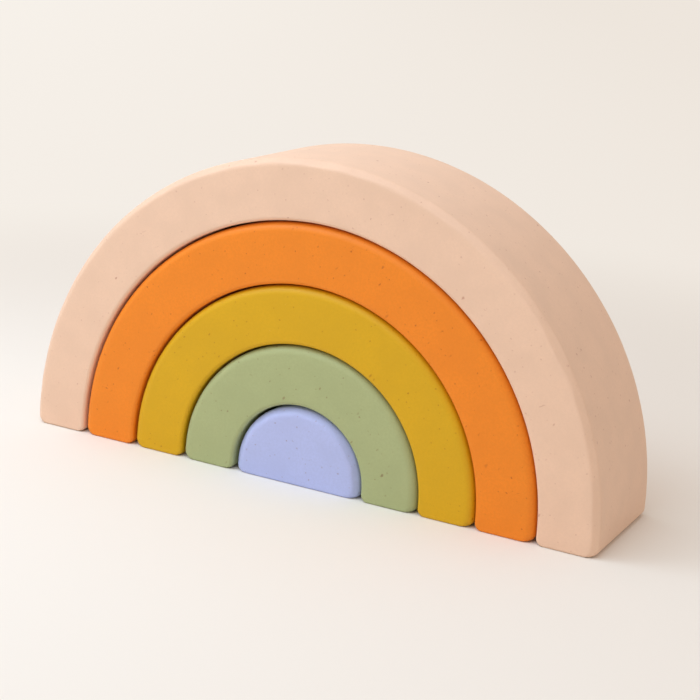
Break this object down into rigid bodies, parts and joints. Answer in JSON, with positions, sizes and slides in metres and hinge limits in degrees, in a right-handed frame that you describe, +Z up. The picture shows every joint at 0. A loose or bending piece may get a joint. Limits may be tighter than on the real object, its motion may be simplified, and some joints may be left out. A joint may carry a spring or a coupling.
{
  "type": "rainbow stacker",
  "caption": "Nesting rainbow stacker: half-ring arches of growing radius stand over one another and over a half-round core, and each slides out of the next.",
  "frame": {"origin": "centre of the set on the surface it stands on, under the middle of the half-round core", "axes": "+X to the right across the width, +Y from the front faces to the back faces, +Z up"},
  "size_m": [0.18, 0.043, 0.0926],
  "materials": {
    "peach": "matte pressed wood fibre, dyed through, fine flecks",
    "orange": "matte pressed wood fibre, dyed through, fine flecks",
    "mustard": "matte pressed wood fibre, dyed through, fine flecks",
    "sage": "matte pressed wood fibre, dyed through, fine flecks",
    "lilac": "matte pressed wood fibre, dyed through, fine flecks"
  },
  "bodies": {
    "peach_arch": {"peach_arch": "peach"},
    "orange_arch": {"orange_arch": "orange"},
    "mustard_arch": {"mustard_arch": "mustard"},
    "sage_arch": {"sage_arch": "sage"},
    "lilac_core": {"lilac_core": "lilac"}
  },
  "joints": [
    {"name": "orange_slide", "type": "slide", "parent": "peach_arch", "child": "orange_arch", "axis": [0, -1, 0], "range_m": [-0.053, 0.053]},
    {"name": "mustard_slide", "type": "slide", "parent": "orange_arch", "child": "mustard_arch", "axis": [0, -1, 0], "range_m": [-0.053, 0.053]},
    {"name": "sage_slide", "type": "slide", "parent": "mustard_arch", "child": "sage_arch", "axis": [0, -1, 0], "range_m": [-0.053, 0.053]},
    {"name": "lilac_slide", "type": "slide", "parent": "sage_arch", "child": "lilac_core", "axis": [0, -1, 0], "range_m": [-0.053, 0.053]}
  ]
}
